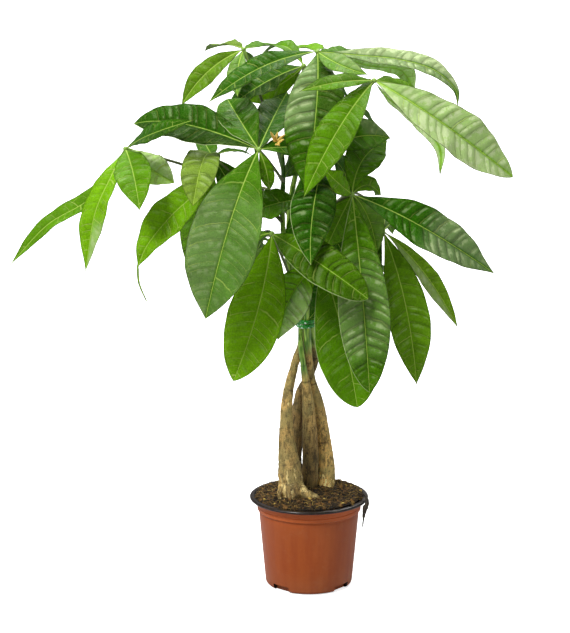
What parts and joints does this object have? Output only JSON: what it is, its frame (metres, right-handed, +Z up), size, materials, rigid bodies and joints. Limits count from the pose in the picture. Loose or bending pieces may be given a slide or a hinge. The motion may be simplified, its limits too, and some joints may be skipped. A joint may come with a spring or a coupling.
{
  "type": "potted money tree",
  "caption": "Braided money tree with palmate leaves in a tapered nursery pot filled with soil; stands on the pot's flat base.",
  "frame": {"origin": "middle of the pot's flat underside", "axes": "+Z up along the plant, -Y towards the plant's front, +X to the right seen from the front"},
  "size_m": [0.4868, 0.3313, 0.5473],
  "materials": {
    "pot": "satin",
    "soil": "matte",
    "tie": "gloss",
    "bark": "matte",
    "leaf": "satin"
  },
  "bodies": {
    "root": {"pot": "pot", "soil": "soil", "tie": "tie", "stem_1": "bark", "stem_2": "bark", "stem_3": "bark", "stem_4": "bark", "leaf_01": "leaf", "leaf_02": "leaf", "leaf_03": "leaf", "leaf_04": "leaf", "leaf_05": "leaf", "leaf_06": "leaf", "leaf_07": "leaf", "leaf_08": "leaf", "leaf_09": "leaf", "leaf_10": "leaf", "leaf_11": "leaf", "leaf_12": "leaf", "leaf_13": "leaf", "leaf_14": "leaf", "leaf_15": "leaf", "leaf_16": "leaf", "leaf_17": "leaf", "leaf_18": "leaf"}
  },
  "joints": []
}
